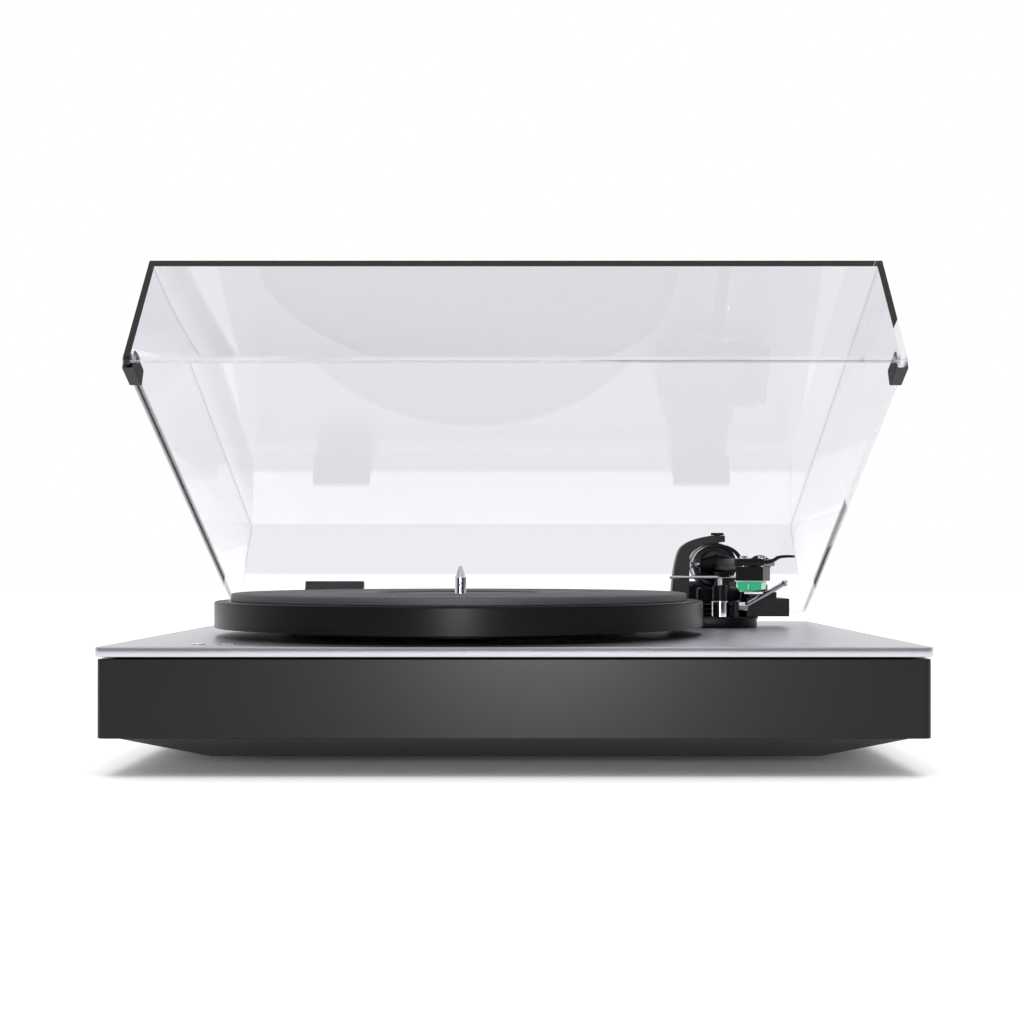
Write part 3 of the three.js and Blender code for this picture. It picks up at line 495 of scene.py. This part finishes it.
# a solid with no finer stand-in keeps its mesh and takes its slot's finish
def finishTheRest():
    turned = {"platter", "mat", "spindle", "arm_collar", "lift_cylinder", "lift_sleeve", "counterweight",
              "counterweight_dial", "headshell_collar"}
    for name, shape in nodes.items():
        if name not in turned and name not in easedWidths and not name.startswith("foot_"):
            shape.data.materials.clear()
            shape.data.materials.append(finishes[slotOf[name]])


makePlatter()
makeMat()
makeSpindle()
makeFeet()
makeArmColumns()
makeArmRounds()
makeLeads()
for node, width in easedWidths.items():
    easedCopy(node, width, ownFinish.get(node))
finishTheRest()
print("pieces made")

camera = {"x": 11.4, "beforePlate": 781.3, "abovePlate": 42.4, "lens": 53.19, "shiftX": -0.0236,
          "shiftY": 0.0518}
floorLook = {"halfSize": 6.0, "glow": {"from": 0.5, "to": 1.6, "near": 0.02, "far": 0.4}}


# pale floor under the object, which glows more with distance so that it meets the white world unseen
def makeFloor():
    half = floorLook["halfSize"]
    mesh = bpy.data.meshes.new("floor")
    corners = [(-half, -half, 0), (half, -half, 0), (half, half, 0), (-half, half, 0)]
    mesh.from_pydata(corners, [], [(0, 1, 2, 3)])
    mesh.materials.append(surfaceMaterial("paleStudioFloor", "#f4f4f4", "#f6f6f6", 0.7, 0.05, grainMm=3,
                                          bumpMm=0.001, glow=floorLook["glow"]))
    floor = bpy.data.objects.new("floor", mesh)
    bpy.context.collection.objects.link(floor)


def makeCamera():
    size = metres(camera)
    plateLow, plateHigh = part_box("top_plate")
    view = bpy.data.objects.new("camera", bpy.data.cameras.new("camera"))
    bpy.context.collection.objects.link(view)
    view.location = (size["x"], plateLow[1] - size["beforePlate"], plateHigh[2] + size["abovePlate"])
    view.rotation_euler = (math.pi / 2, 0, 0)
    view.data.lens = camera["lens"]
    view.data.shift_x = camera["shiftX"]
    view.data.shift_y = camera["shiftY"]
    view.data.clip_start = 0.01
    bpy.context.scene.camera = view


worldLook = {"dim": 0.03, "dimColour": "#16163a", "frontFrom": -0.7, "frontTo": 0.35, "upFrom": 0.15,
             "upTo": 0.8, "throughCover": 0.45}


# the world is white behind and above and a dim navy in front, so that dark parts keep their tone;
# the camera sees it white, and rays through the cover see it at least nearly half white
def makeWorld():
    world = bpy.data.worlds.new("studioWorld")
    world.use_nodes = True
    bpy.context.scene.world = world
    tree = world.node_tree
    tree.nodes.clear()
    direction = addNode(tree, "ShaderNodeTexCoord").outputs["Generated"]
    split = addNode(tree, "ShaderNodeSeparateXYZ", Vector=direction)
    frontness = addNode(tree, "ShaderNodeMapRange", Value=split.outputs["Y"], i1=worldLook["frontFrom"],
                        i2=worldLook["frontTo"], i3=worldLook["dim"], i4=1.0)
    upness = addNode(tree, "ShaderNodeMapRange", Value=split.outputs["Z"], i1=worldLook["upFrom"],
                     i2=worldLook["upTo"], i3=0.0, i4=1.0)
    path = addNode(tree, "ShaderNodeLightPath")
    through = addNode(tree, "ShaderNodeMath", {"operation": "MULTIPLY"}, i0=path.outputs["Is Transmission Ray"],
                      i1=worldLook["throughCover"])
    level = frontness.outputs[0]
    for other in (upness.outputs[0], through.outputs[0], path.outputs["Is Camera Ray"]):
        level = addNode(tree, "ShaderNodeMath", {"operation": "MAXIMUM"}, i0=level, i1=other).outputs[0]
    tone = addNode(tree, "ShaderNodeMix", {"data_type": "RGBA"}, i0=level, i6=hexColour(worldLook["dimColour"]),
                   i7=(1, 1, 1, 1))
    background = addNode(tree, "ShaderNodeBackground", Color=tone.outputs[2], Strength=1.0)
    addNode(tree, "ShaderNodeOutputWorld", Surface=background.outputs[0])


lamps = {"frontSoftbox": {"place": (0.03, -2.2, 0.3), "power": 26, "wide": 0.3, "tall": 0.8, "mirrored": True},
         "topSoftbox": {"place": (0, 0.1, 2.4), "power": 60, "wide": 2.6, "tall": 2.2, "mirrored": False}}
lampTarget = (0, 0, 0.1)


# a narrow front softbox streaks the plinth and platter, and spares the cover and the plate; a broad one
# above gives the ground shadow
def makeLamps():
    for name, lamp in lamps.items():
        light = bpy.data.lights.new(name, "AREA")
        light.shape = "RECTANGLE"
        light.size, light.size_y, light.energy = lamp["wide"], lamp["tall"], lamp["power"]
        holder = bpy.data.objects.new(name, light)
        holder.location = lamp["place"]
        aim = Vector(lampTarget) - Vector(lamp["place"])
        holder.rotation_euler = aim.to_track_quat("-Z", "Y").to_euler()
        holder.visible_glossy = lamp["mirrored"]
        holder.visible_transmission = False
        bpy.context.collection.objects.link(holder)
    spared = bpy.data.collections.new("sparedByFrontSoftbox")
    for piece in ("dust_cover_eased", "top_plate_eased"):
        spared.objects.link(bpy.data.objects[piece])
    bpy.data.objects["frontSoftbox"].light_linking.receiver_collection = spared
    for entry in spared.collection_objects:
        entry.light_linking.link_state = "EXCLUDE"


makeFloor()
makeCamera()
makeWorld()
makeLamps()
bpy.context.scene.view_settings.view_transform = "Standard"
print("studio set")
